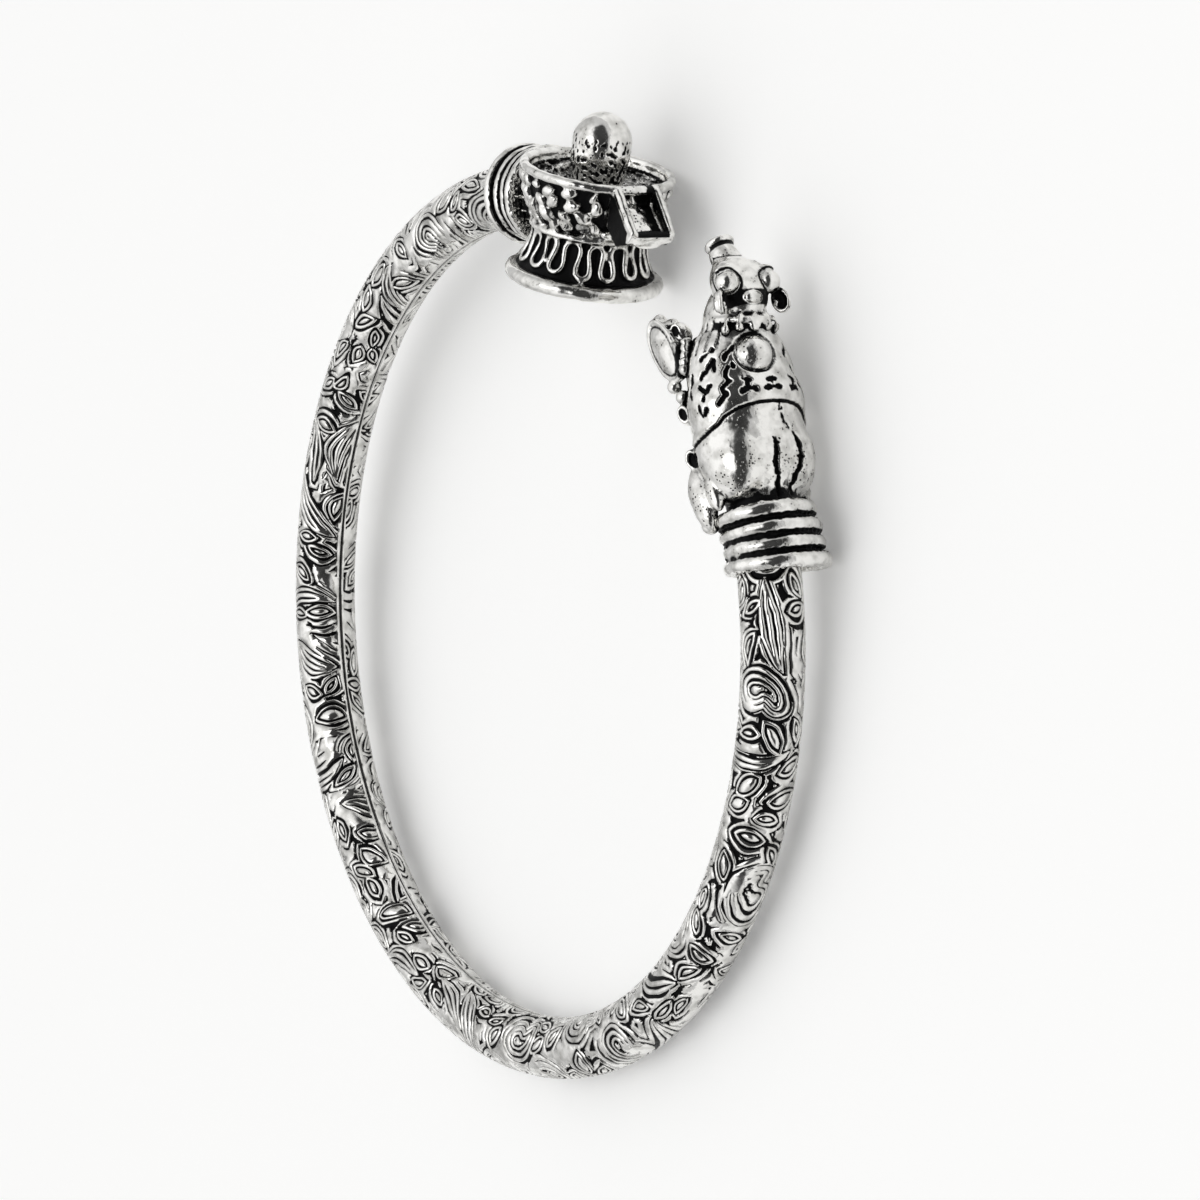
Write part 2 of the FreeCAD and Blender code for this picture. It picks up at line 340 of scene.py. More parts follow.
def strewMotifs(rng):
    e = engraving
    taken, motifs = np.zeros((0, 3)), []

    def strew(kind, count, spare, tries, draw):
        nonlocal taken
        done = 0
        for n in range(tries):
            m = {"kind": kind, "x": rng.uniform(0, tubeLength), "y": rng.uniform(0, tubeRound),
                 "turn": rng.uniform(0, math.tau), "bend": 0, "sway": 0}
            m.update(draw(n / tries))
            spots = np.array(coveredBy(m))
            near = taken[np.abs(taken[:, 0] - m["x"]) < farOff]
            gaps = np.hypot(spots[:, None, 0] - near[None, :, 0], spots[:, None, 1] - near[None, :, 1])
            if done < count and (gaps > spots[:, None, 2] + near[None, :, 2] + spare).all():
                taken = np.vstack([taken, spots])
                motifs.append(m)
                done += 1

    def scroll(share):
        size = rng.uniform(*e["scrollSizes"])
        return {"size": size, "cover": size, "hand": rng.choice((-1, 1)), "eye": rng.random() < 0.5,
                "rim": rng.uniform(0.3, 0.42), "y": rng.uniform(size * 0.6, tubeRound - size * 0.6)}

    def plume(share):
        wide = rng.uniform(*e["plumeWidths"])
        return {"size": rng.uniform(*e["plumeSizes"]), "wide": wide, "cover": wide,
                "bend": rng.uniform(0.5, 1.2) * rng.choice((-1, 1)), "sway": rng.uniform(-0.5, 0.5),
                "phase": rng.choice((0, 0.5))}

    def leaf(share):
        size, wide = rng.uniform(*e["leafSizes"]) * (1 - 0.42 * share), rng.uniform(*e["leafWidths"])
        return {"size": size, "wide": wide, "cover": size * wide, "bend": rng.uniform(-0.12, 0.12) * size,
                "rim": rng.uniform(0.24, 0.32), "line": e["leafLine"]}

    for kind, draw in (("scroll", scroll), ("plume", plume), ("leaf", leaf)):
        strew(kind, *e["strewn"][kind], draw)
    return motifs


def engravedChart():
    e = engraving
    rng = random.Random(e["seed"])
    columns = round(tubeLength / e["blocks"] / e["cell"]) * e["blocks"] + 1
    xs = np.linspace(0, tubeLength, columns)
    ys = np.linspace(0, tubeRound, round(tubeRound / e["cell"]) + 1)
    flatX, flatY = np.meshgrid(xs, ys, indexing="ij")
    # the engraver's hand: the whole chart is warped a little
    (warp, warpSize), (shake, shakeSize) = e["warp"], e["shake"]
    x = flatX + warp * ripple(flatX, flatY, warpSize, rng) + shake * ripple(flatX, flatY, shakeSize, rng)
    y = flatY + warp * ripple(flatX, flatY, warpSize, rng) + shake * ripple(flatX, flatY, shakeSize, rng)
    nearest, second = np.full(x.shape, farOff), np.full(x.shape, farOff)
    leafy, cuts = np.zeros(x.shape), np.full(x.shape, farOff)
    for m in strewMotifs(rng):
        reach = m["size"] / (1 if m["kind"] == "scroll" else 2) + e["reach"]
        i0, i1 = np.searchsorted(xs, (m["x"] - reach, m["x"] + reach))
        j0, j1 = np.searchsorted(ys, (m["y"] - reach, m["y"] + reach))
        w = slice(i0, i1), slice(j0, j1)
        outline, inner = motifShapes[m["kind"]](x[w] - m["x"], y[w] - m["y"], m)
        mine = outline < nearest[w]
        cuts[w] = np.where(mine & (outline < 0), inner, cuts[w])
        leafy[w] = np.where(mine, m["kind"] == "leaf", leafy[w])
        second[w] = np.where(mine, nearest[w], np.minimum(second[w], outline))
        nearest[w] = np.where(mine, outline, nearest[w])
    quick, slow = ripple(x, y, 1.7, rng), ripple(x, y, 3.2, rng)
    g, pitch = e["groove"], e["pitch"] * e["echo"]
    # a groove follows each motif's outline, and a strand goes round it where there is room
    half = g * (1.0 + 0.55 * quick + 0.5 * leafy)
    outline = np.abs(nearest - half) - half
    turns = np.maximum(np.round(nearest / pitch), 1)
    echoHalf = np.where(turns == 1, g * (0.9 + 0.9 * slow), g * (0.6 + quick))
    echo = np.abs(nearest - turns * pitch) - np.where(echoHalf < e["thinnest"], -1, echoHalf)
    # ground between motifs that nearly meet, and short slots midway between others
    midway = (second - nearest) / 2
    close, varied, groundHalf = e["ground"]
    ground = np.where((nearest + second) / 2 < close + varied * slow, midway - groundHalf, farOff)
    slotFrom, slotTo, slotHalf = e["slot"]
    slot = np.where((nearest > slotFrom) & (nearest < slotTo) & (slow > 0.15), midway - slotHalf, farOff)
    outside = np.minimum(np.minimum(outline, echo), np.minimum(ground, slot))
    field = np.where(nearest > 0, outside, np.minimum(cuts, 0.02 - nearest))
    # plain margin along the seam, and the seam itself
    edge = np.minimum(flatY, tubeRound - flatY)
    margin = e["seamMargin"] + 0.07 * ripple(flatX, flatY * 0, 3.0, rng)
    field = np.minimum(np.maximum(field, margin - edge), edge - e["seamLine"])
    return xs, ys, field


def contourLines(xs, ys, field, level):
    # where the field crosses the level, as chains of points
    above = field > level
    cols = field.shape[1]
    points = {}

    def crossing(i, j, di, dj):
        share = (level - field[i, j]) / (field[i + di, j + dj] - field[i, j])
        px = xs[i] + (xs[i + di] - xs[i]) * share if di else np.full(len(i), xs[i])
        py = ys[j] + (ys[j + dj] - ys[j]) * share if dj else np.full(len(j), ys[j])
        return px, py

    i, j = np.nonzero(above[:-1, :] != above[1:, :])
    px, py = crossing(i, j, 1, 0)
    points.update(zip(((i * cols + j) * 2).tolist(), zip(px.tolist(), py.tolist())))
    i, j = np.nonzero(above[:, :-1] != above[:, 1:])
    px, py = crossing(i, j, 0, 1)
    points.update(zip(((i * cols + j) * 2 + 1).tolist(), zip(px.tolist(), py.tolist())))
    kind = above[:-1, :-1] * 1 + above[1:, :-1] * 2 + above[1:, 1:] * 4 + above[:-1, 1:] * 8
    sides = {1: ((3, 0),), 2: ((0, 1),), 3: ((3, 1),), 4: ((1, 2),), 5: ((3, 0), (1, 2)), 6: ((0, 2),),
             7: ((3, 2),), 8: ((2, 3),), 9: ((2, 0),), 10: ((0, 1), (2, 3)), 11: ((2, 1),), 12: ((1, 3),),
             13: ((1, 0),), 14: ((0, 3),)}
    links = {}
    for shape, pairs in sides.items():
        i, j = np.nonzero(kind == shape)
        corner = (i * cols + j) * 2
        keys = [corner, corner + cols * 2 + 1, corner + 2, corner + 1]
        for a, b in pairs:
            for p, q in zip(keys[a].tolist(), keys[b].tolist()):
                links.setdefault(p, []).append(q)
                links.setdefault(q, []).append(p)
    chains, seen = [], set()
    ends = [p for p, near in links.items() if len(near) == 1]
    for start in ends + list(links):
        if start in seen:
            continue
        chain, here = [start], start
        seen.add(start)
        while True:
            onward = [q for q in links[here] if q not in seen]
            if not onward:
                break
            here = onward[0]
            seen.add(here)
            chain.append(here)
        closed = len(links[start]) == 2 and len(chain) > 2
        chains.append((np.array([points[k] for k in chain]), closed))
    return chains


def thinned(line, spare):
    # fewest points that keep the line within spare of itself
    keep = np.zeros(len(line), bool)
    keep[0] = keep[-1] = True
    spans = [(0, len(line) - 1)]
    while spans:
        a, b = spans.pop()
        if b - a < 2:
            continue
        if b - a > 30:
            # long straight runs keep points too, to bend round the tube
            middle = (a + b) // 2
            keep[middle] = True
            spans += [(a, middle), (middle, b)]
            continue
        run = line[b] - line[a]
        size = math.hypot(*run)
        off = line[a + 1:b] - line[a]
        gaps = np.abs(off[:, 0] * run[1] - off[:, 1] * run[0]) / size if size > 1e-9 else np.hypot(*off.T)
        worst = int(gaps.argmax())
        if gaps[worst] > spare:
            keep[a + 1 + worst] = True
            spans += [(a, a + 1 + worst), (a + 1 + worst, b)]
    return line[keep]


def wrapped(x, y, depth):
    # from the chart to the tube
    h = hoopSize
    bearing = math.radians(h["start"]) + x / h["radius"]
    angle = y / h["tube"]
    radius = h["tube"] - depth
    out = h["radius"] - radius * np.cos(angle)
    flat = np.stack([out * np.cos(bearing), out * np.sin(bearing), radius * np.sin(angle)], axis=-1)
    turn = np.array(lying.to_3x3())
    return (flat @ turn.T + np.array(lying.translation)) * mm


def engravedBlock(xs, ys, field):
    # one stretch of the chart as triangles: chart points, their depth, faces
    e = engraving
    points, depth, edges = [], [], []
    low, high = xs[0], xs[-1]

    def add(p, d):
        points.append(Vector(p))
        depth.append(d)
        return len(points) - 1

    borders = {low: [], high: []}
    for level, d in ((e["topLevel"], 0.0), (e["footLevel"], e["depth"])):
        for chain, closed in contourLines(xs, ys, field, level):
            if closed and len(chain) < 6:
                continue
            if closed:
                middle = len(chain) // 2
                line = np.vstack([thinned(chain[:middle + 1], e["spare"]),
                                  thinned(np.vstack([chain[middle:], chain[:1]]), e["spare"])[1:-1]])
                if len(line) < 3:
                    continue
            else:
                line = thinned(chain, e["spare"])
            ids = [add(p, d) for p in line]
            edges += list(zip(ids, ids[1:]))
            if closed:
                edges.append((ids[-1], ids[0]))
            else:
                for k in (ids[0], ids[-1]):
                    for side in (low, high):
                        if abs(points[k].x - side) < 1e-6:
                            borders[side].append(k)
    # plain ground between the lines
    count = round(tubeRound / e["facet"])
    across = round((high - low) / e["facet"])
    for column in range(1, across):
        for row in range(count):
            px = low + column * (high - low) / across
            py = (row + 0.5 * (column % 2)) * tubeRound / count
            i = min(int(round((px - low) / (high - low) * (len(xs) - 1))), len(xs) - 1)
            j = min(int(round(py / tubeRound * (len(ys) - 1))), len(ys) - 1)
            value = field[i, j]
            if value > e["topLevel"] + 0.1 or value < e["footLevel"] - 0.07:
                add((px, py), 0.0 if value > 0 else e["depth"])
    # the four borders, the same on both sides of each joint
    rim = [k for k in range(len(ys)) if k % round(len(ys) / count) == 0]
    corners = {}
    for side, i in ((low, 0), (high, len(xs) - 1)):
        found = borders[side]
        taken = [points[k].y for k in found]
        for j in rim + [0, len(ys) - 1]:
            if all(abs(ys[j] - t) > 0.08 for t in taken) or j in (0, len(ys) - 1):
                k = add((side, ys[j]), 0.0 if field[i, j] > e["topLevel"] else e["depth"])
                found.append(k)
                taken.append(ys[j])
        found.sort(key=lambda k: points[k].y)
        edges += list(zip(found, found[1:]))
        corners[side] = (found[0], found[-1])
    for end, j in ((0, 0), (1, len(ys) - 1)):
        stops = round(high - low)
        line = [corners[low][end]]
        line += [add((low + (high - low) * k / stops, ys[j]), e["depth"]) for k in range(1, stops)]
        line.append(corners[high][end])
        edges += list(zip(line, line[1:]))
    verts, _, faces, origins, _, _ = geometry.delaunay_2d_cdt([p.to_2d() for p in points], edges, [], 0, 1e-7)
    depths = np.array([depth[o[0]] if o else e["depth"] for o in origins])
    flat, faces = np.array([tuple(v) for v in verts]), np.array(faces)
    side, other = flat[faces[:, 1]] - flat[faces[:, 0]], flat[faces[:, 2]] - flat[faces[:, 0]]
    real = np.abs(side[:, 0] * other[:, 1] - side[:, 1] * other[:, 0]) > 1e-6
    return flat, depths, faces[real].tolist()


def makeHoop():
    xs, ys, field = engravedChart()
    stretch = (len(xs) - 1) // engraving["blocks"]
    points, oxideAndShade, faces = [], [], []
    for block in range(engraving["blocks"]):
        part = slice(block * stretch, (block + 1) * stretch + 1)
        flat, depth, tris = engravedBlock(xs[part], ys, field[part])
        first = sum(len(p) for p in points)
        points.append(wrapped(flat[:, 0], flat[:, 1], depth))
        oxideAndShade.append(depth / engraving["depth"])
        faces += [tuple(k + first for k in tri) for tri in tris]
    piece = meshPiece("engraved_hoop", np.concatenate(points).tolist(), faces)
    setAttribute(piece, "oxideAndShade", np.concatenate(oxideAndShade))
    editAll(piece)
    bpy.ops.mesh.remove_doubles(threshold=0.002 * mm)
    bpy.ops.mesh.select_all(action="DESELECT")
    bpy.ops.mesh.select_non_manifold()
    bpy.ops.mesh.edge_face_add()  # caps the two ends, inside the finials
    closeEdit()
    dressed(piece, engravedSilver, "hoop")


makeHoop()


# Cast finials. They are modelled in millimetres in their own seat, X along the hoop towards the
# gap and Z away from the wrist, cast together by a fine remesh, and then put in place.

seats = {
    "linga": {"bearing": -69.2, "radius": 35.0, "backwards": True},
    "bull": {"bearing": 233.3, "radius": 35.5},
}
fineVoxel = 0.1  # mm, grain of a casting's mesh


def tilt(degrees, axis="Y"):
    return Matrix.Rotation(math.radians(degrees), 4, axis)


def finished(name):
    # the piece just added, its place and size worked into its mesh
    piece = bpy.context.object
    piece.name = name
    bpy.ops.object.transform_apply(location=True, rotation=True, scale=True)
    return piece


def addBall(place, size, pitch=0.0, detail=3):
    bpy.ops.mesh.primitive_ico_sphere_add(subdivisions=detail, radius=1.0)
    ball = finished("ball")
    ball.data.transform(Matrix.Translation(place) @ tilt(pitch) @ Matrix.Diagonal((*size, 1)))
    return ball


def addRing(major, minor, place):
    # a ring about Z, then put in its place
    bpy.ops.mesh.primitive_torus_add(major_radius=major, minor_radius=minor, major_segments=72,
                                     minor_segments=14)
    ring = finished("ring")
    ring.data.transform(place)
    return ring


def addDrum(radius, depth, ahead, sides):
    # a cylinder along X
    bpy.ops.mesh.primitive_cylinder_add(vertices=sides, radius=radius, depth=depth, location=(ahead, 0, 0),
                                        rotation=(0, math.pi / 2, 0))
    return finished("drum")


def addWire(points, radius, closed=False, swell=None):
    # round wire through the points; swell gives each point its own share of the radius
    curve = bpy.data.curves.new("wire", "CURVE")
    curve.dimensions = "3D"
    curve.bevel_depth = radius
    curve.bevel_resolution = 2
    curve.use_fill_caps = True
    spline = curve.splines.new("POLY")
    spline.points.add(len(points) - 1)
    for k, (spot, point) in enumerate(zip(spline.points, points)):
        spot.co = (*point, 1)
        spot.radius = swell[k] if swell else 1.0
    spline.use_cyclic_u = closed
    wire = bpy.data.objects.new("wire", curve)
    bpy.context.collection.objects.link(wire)
    selectOnly(wire)
    bpy.ops.object.convert(target="MESH")
    return bpy.context.object


def addTurned(profile, steps=120, closed=False):
    # a profile of (radius, height) turned about Z
    count = len(profile)
    edges = [(k, k + 1) for k in range(count - 1)] + ([(count - 1, 0)] if closed else [])
    piece = meshPiece("turned", [(r, 0, h) for r, h in profile], [], edges)
    editAll(piece)
    bpy.ops.mesh.spin(steps=steps, angle=math.tau, center=(0, 0, 0), axis=(0, 0, 1))
    bpy.ops.mesh.select_all(action="SELECT")
    bpy.ops.mesh.remove_doubles(threshold=0.0005)
    closeEdit()
    return piece


def addPrism(outline, width):
    # an outline in the XZ plane, extruded across Y
    piece = meshPiece("prism", [(x, -width / 2, z) for x, z in outline], [tuple(range(len(outline)))])
    editAll(piece)
    bpy.ops.mesh.extrude_region_move(TRANSFORM_OT_translate={"value": (0, width, 0)})
    closeEdit()
    return piece


def applied(piece, kind, **settings):
    modifier = piece.modifiers.new(kind.lower(), kind)
    for key, value in settings.items():
        setattr(modifier, key, value)
    selectOnly(piece)
    bpy.ops.object.modifier_apply(modifier=modifier.name)
    return piece


def castTogether(name, parts, voxel=fineVoxel, smooth=2):
    selectOnly(*parts)
    bpy.ops.object.join()
    piece = bpy.context.object
    piece.name = piece.data.name = name
    applied(piece, "REMESH", mode="VOXEL", voxel_size=voxel)
    return applied(piece, "SMOOTH", factor=0.5, iterations=smooth)


def readPoints(piece, what):
    flat = np.empty(len(piece.data.vertices) * 3, np.float32)
    piece.data.vertices.foreach_get(what, flat)
    return flat.reshape(-1, 3).astype(float)


def places(piece):
    return readPoints(piece, "co")


def movedTo(piece, points):
    piece.data.vertices.foreach_set("co", points.astype(np.float32).ravel())
    piece.data.update()


def pushed(piece, amounts):
    # moves each vertex along its normal
    movedTo(piece, places(piece) + readPoints(piece, "normal") * amounts[:, None])


def seenFrom(place, points):
    # the points in the frame of a place
    back = np.array(place.inverted())
    return points @ back[:3, :3].T + back[:3, 3]


def lumps(points, size, rng, waves=9):
    # smooth random field in space, about -1 to 1
    total = 0
    for k in range(waves):
        way = np.array([rng.gauss(0, 1) for axis in range(3)])
        way *= math.tau / (size * rng.uniform(0.9, 2.0)) / np.linalg.norm(way)
        total = total + np.sin(points @ way + rng.uniform(0, math.tau))
    return total / math.sqrt(waves / 2) / 1.6


def step(value, low, high):
    # smooth rise from 0 at low to 1 at high; a high below low makes a fall
    t = np.clip((value - low) / (high - low), 0, 1)
    return t * t * (3 - 2 * t)


def shelter(piece, reach, rays=14):
    # how much of its sky each vertex has blocked within reach: the polishing wheel missed it there
    points, outward = places(piece), readPoints(piece, "normal")
    faces = [tuple(p.vertices) for p in piece.data.polygons]
    tree = BVHTree.FromPolygons([Vector(p) for p in points], faces)
    side = np.cross(outward, np.where(np.abs(outward[:, :1]) < 0.7, [[1.0, 0, 0]], [[0, 1.0, 0]]))
    side /= np.linalg.norm(side, axis=1)[:, None] + 1e-9
    other = np.cross(outward, side)
    blocked = np.zeros(len(points))
    starts = [Vector(p) for p in points + outward * 0.03]
    for k in range(rays):
        height = 1 - (k + 0.5) / rays * 0.85
        flat, turn = math.sqrt(1 - height * height), k * 2.39996
        ways = outward * height + (side * math.cos(turn) + other * math.sin(turn)) * flat
        for n, (start, way) in enumerate(zip(starts, ways.tolist())):
            gap = tree.ray_cast(start, way, reach)[3]
            if gap is not None:
                blocked[n] += 1 - gap / reach
    return blocked / rays


def putOnBangle(piece, place, node):
    piece.data.transform(Matrix.Scale(mm, 4) @ place)
    dressed(piece, castSilver, node)


def arc(points, steps):
    # smooth line through three (radius, height) points, from the first to the last
    (r0, h0), (r1, h1), (r2, h2) = points
    run = np.linspace(h0, h2, steps)
    radius = (r0 * (run - h1) * (run - h2) / ((h0 - h1) * (h0 - h2))
              + r1 * (run - h0) * (run - h2) / ((h1 - h0) * (h1 - h2))
              + r2 * (run - h0) * (run - h1) / ((h2 - h0) * (h2 - h1)))
    return list(zip(radius.tolist(), run.tolist()))


def roundEdge(radius, height, minor, start, end, steps):
    turns = [math.radians(start + (end - start) * k / steps) for k in range(steps + 1)]
    return [(radius + minor * math.cos(a), height + minor * math.sin(a)) for a in turns]


# Yoni pedestal: flange, skirt with a looped wire, waist bead, bowl with petals, dish and spout

pedestal = {
    "flange": (6.5, -6.25, 1.3),  # radius, lowest height, thickness
    "skirt": ((5.75, -4.95), (4.95, -3.225), (4.75, -1.5)),
    "skirtRecess": 0.36,
    "loops": 15, "loopWire": 0.26, "loopSway": 0.15, "loopMiddle": -3.18, "loopTall": 1.32,
    "bead": (4.72, -1.5, 0.36),
    "bowl": ((4.75, -1.5), (5.6, 0.3), (6.316, 2.84)),
    "bowlRecess": 0.5,
    "rim": (5.98, 3.16, 0.42),
    "dishWall": (5.3, 2.3), "dishFloor": (4.4, 2.0), "socket": (1.9, 2.0, 1.0),
    "spoutWidth": 4.2, "spoutWall": 0.45, "spoutWire": 0.4,
    "spout": ((4.9, 3.0), (6.1, 3.2), (9.25, 0.35), (8.95, -0.3), (8.2, -0.75), (7.0, -1.1), (4.9, 0.5)),
    "channel": ((4.9, 4.4), (6.3, 4.4), (9.15, 1.3), (8.72, 0.2), (8.35, -0.05), (5.9, 1.75), (4.2, 2.0)),
    "spoutEdge": ((5.5, 3.2), (6.1, 3.14), (7.6, 1.77), (9.0, 0.5)),  # where its wire lies
    "spoutLip": ((8.3, 0, -0.3), (0.8, 0.85, 0.55), 40),  # its width is a share of the trough's
    "neckRadius": 2.9,
    "neckRibs": 18,
    "petalRows": (  # height, how many, half-length
        (2.1, 21, 0.8), (1.15, 19, 1.0), (0.2, 19, 0.9), (-0.6, 17, 0.7),
    ),
    "petalGrown": (0.7, 1.12),
    "crumbs": 26,
    "voxel": 0.114,
    "seed": 3,
}


def radiusAt(points, height):
    line = arc(points, 60)
    return float(np.interp(height, [h for r, h in line], [r for r, h in line]))


def addPetal(angle, height, size, lean):
    # a drop-shaped blob that lies on the bowl and points up
    bpy.ops.mesh.primitive_ico_sphere_add(subdivisions=2, radius=1.0)
    petal = finished("petal")
    for v in petal.data.vertices:
        u = v.co.z
        v.co.y *= (1 - 0.6 * max(u, 0) ** 1.2) * 0.7
        v.co.x *= 0.55
    radius = radiusAt(pedestal["bowl"], height) - 0.33
    slope = math.atan2(1.0, 2.6)
    place = Matrix.Rotation(angle, 4, "Z") @ Matrix.Translation((radius, 0, height))
    leaning = Matrix.Rotation(slope, 4, "Y") @ Matrix.Rotation(lean, 4, "X")
    petal.data.transform(place @ leaning @ Matrix.Scale(size, 4))
    return petal


def makePedestal():
    p = pedestal
    rng = random.Random(p["seed"])
    radius, low, thick = p["flange"]
    edge = thick / 2
    body = [(0.0, low), (radius - edge, low)]
    body += roundEdge(radius - edge, low + edge, edge, -75, 90, 12)
    body += [(r - p["skirtRecess"], h) for r, h in arc(p["skirt"], 14)]
    body += [(r - p["bowlRecess"], h) for r, h in arc(p["bowl"], 16)]
    rimRadius, rimHeight, rimWire = p["rim"]
    body += roundEdge(rimRadius, rimHeight, rimWire, -60, 200, 14)
    hole, top, bottom = p["socket"]
    body += [p["dishWall"], p["dishFloor"], (hole, top), (hole, bottom), (0.0, bottom)]
    parts = [addTurned(body)]
    beadRadius, beadHeight, beadWire = p["bead"]
    flattened = Matrix.Translation((0, 0, beadHeight)) @ Matrix.Diagonal((1, 1, 0.8, 1))
    parts.append(addRing(beadRadius, beadWire, flattened))
    # the wire on the skirt swings up and down in keyhole loops
    loops, pointsEach, points, swell = p["loops"], 28, [], []
    for k in range(loops * pointsEach):
        t = k / pointsEach
        wander = 0.05 * math.sin(t * 2.9) + 0.04 * math.sin(t * 5.3 + 1)
        angle = (t + p["loopSway"] * math.sin(math.tau * t * 2) + wander) / loops * math.tau
        height = p["loopMiddle"] + p["loopTall"] * math.cos(math.tau * t) + 0.1 * math.sin(t * 1.7)
        r = radiusAt(p["skirt"], height) - p["loopWire"] * 0.75
        points.append((r * math.cos(angle), r * math.sin(angle), height))
        swell.append(1 + 0.22 * math.sin(t * 7.1) * math.cos(t * 2.3))
    parts.append(addWire(points, p["loopWire"], closed=True, swell=swell))
    for row, (height, count, size) in enumerate(p["petalRows"]):
        for k in range(count):
            angle = (k + 0.5 * (row % 2) + rng.uniform(-0.25, 0.25)) / count * math.tau
            grown = size * rng.uniform(*p["petalGrown"])
            parts.append(addPetal(angle, height + rng.uniform(-0.25, 0.25), grown, rng.uniform(-1.5, 1.5)))
    # lumps low on the bowl, where the casting is coarse
    for k in range(p["crumbs"]):
        angle, height = rng.uniform(0, math.tau), rng.uniform(-1.2, -0.5)
        r = radiusAt(p["bowl"], height) - 0.32
        size = rng.uniform(0.25, 0.5)
        place = (r * math.cos(angle), r * math.sin(angle), height)
        parts.append(addBall(place, (size, size, size * 0.7), detail=2))
    # spout: a closed trough with a round wire along its edge
    trough = addPrism(p["spout"], p["spoutWidth"])
    hollow = addPrism(p["channel"], p["spoutWidth"] - 2 * p["spoutWall"])
    applied(trough, "BOOLEAN", operation="DIFFERENCE", object=hollow, solver="EXACT")
    bpy.data.objects.remove(hollow)
    parts.append(trough)
    half = p["spoutWidth"] / 2 - p["spoutWire"] * 0.75
    top = p["spoutEdge"]
    wire = [(x, -half, z) for x, z in top] + [(9.0, -half + 0.35, 0.28), (9.0, half - 0.35, 0.28)]
    wire += [(x, half, z) for x, z in reversed(top)]
    parts.append(addWire(wire, p["spoutWire"]))
    # a lip under the trough's end
    place, (lipLong, lipWide, lipThick), pitch = p["spoutLip"]
    parts.append(addBall(place, (lipLong, half * lipWide, lipThick), pitch))
    # neck and its radial ribs, in the dark behind the bowl
    back = alongHoop(hoopSize["start"], hoopSize["radius"], True)
    seat = alongHoop(**seats["linga"])
    toSeat = seat.inverted() @ back
    neck = addDrum(p["neckRadius"], 3.2, 1.65, 48)
    neck.data.transform(toSeat)
    parts.append(neck)
    for k in range(p["neckRibs"]):
        turn = (k + rng.uniform(-0.2, 0.2)) / p["neckRibs"] * math.tau
        ring = [(x, r * math.cos(turn), r * math.sin(turn)) for x, r in ((0.1, 3.1), (1.2, 3.0), (2.2, 3.2))]
        rib = addWire(ring, rng.uniform(0.12, 0.2))
        rib.data.transform(toSeat)
        parts.append(rib)
    piece = castTogether("pedestal", parts, voxel=p["voxel"], smooth=4)
    points = places(piece)
    reach = np.hypot(points[:, 0], points[:, 1])
    inDish = (reach < 5.4) & (points[:, 2] > 1.6) & (points[:, 2] < 2.9)
    inTrough = (points[:, 0] > 5.6) & (np.abs(points[:, 1]) < 1.5) & (points[:, 2] > 0.2)
    onBowl = (reach < 6.4) & (points[:, 2] > -1.3) & (points[:, 2] < 2.7) & ~inDish
    coarse, fine = lumps(points, 0.9, rng), lumps(points, 0.4, rng)
    pushed(piece, 0.02 * coarse - 0.02 + inDish * 0.15 * fine + onBowl * 0.015 * fine)
    # black wherever the surface lies under the petals' and the loops' own height
    heights, lows = np.array(arc(p["bowl"], 40)).T, np.array(arc(p["skirt"], 40)).T
    underPetals = step(np.interp(points[:, 2], heights[1], heights[0]) - reach, 0.3, 0.42) * onBowl
    # a patch low on the bowl is polished through
    underPetals *= 1 - 0.85 * step(lumps(points, 1.6, rng), 0.3, 0.6) * step(points[:, 2], 0.5, -0.3)
    onSkirt = (points[:, 2] > -5.1) & (points[:, 2] < -1.75) & (reach > 3.5)
    underLoops = step(np.interp(points[:, 2], lows[1], lows[0]) - reach, 0.06, 0.2) * onSkirt
    atNeck = seenFrom(toSeat, points)
    behind = step(3.2 - np.hypot(atNeck[:, 1], atNeck[:, 2]), 0.02, 0.15)
    behind *= (atNeck[:, 0] < 3.2) * (reach > 5.2)
    dark = shelter(piece, 1.1) * 1.3
    flatOxideAndShade = inDish * (0.12 + 0.4 * fine) - inTrough * 0.2
    # the trough's outer walls, below its wire
    below = np.interp(points[:, 0], [x for x, z in top], [z for x, z in top]) - points[:, 2]
    walls = step(below, 0.42, 0.6) * (points[:, 0] > 5.6) * (points[:, 0] < 8.6)
    walls *= (np.abs(points[:, 1]) > 1.75) * step(points[:, 2], -1.5, -1.3)
    # painted shade: inside the trough, the side towards +Y and the far end are painted black as shade, after
    # the rest of the trough was lightened
    shadeSide = np.maximum(step(points[:, 1] + 0.15 * fine, 0.6, 0.9), step(points[:, 0], 8.25, 8.5))
    flatOxideAndShade += walls * 0.9 + inTrough * shadeSide * 1.2
    setAttribute(piece, "oxideAndShade", dark + flatOxideAndShade + underPetals + underLoops + behind)
    setAttribute(piece, "pitting", 0.35 + 0.5 * inDish + 0.5 * inTrough)
    putOnBangle(piece, seat, "yoni_pedestal")


makePedestal()


# Lingam: a polished egg, pitted near its foot

lingam = {"radius": 2.45, "foot": 1.95, "floor": 2.0, "height": 6.05, "seed": 8}


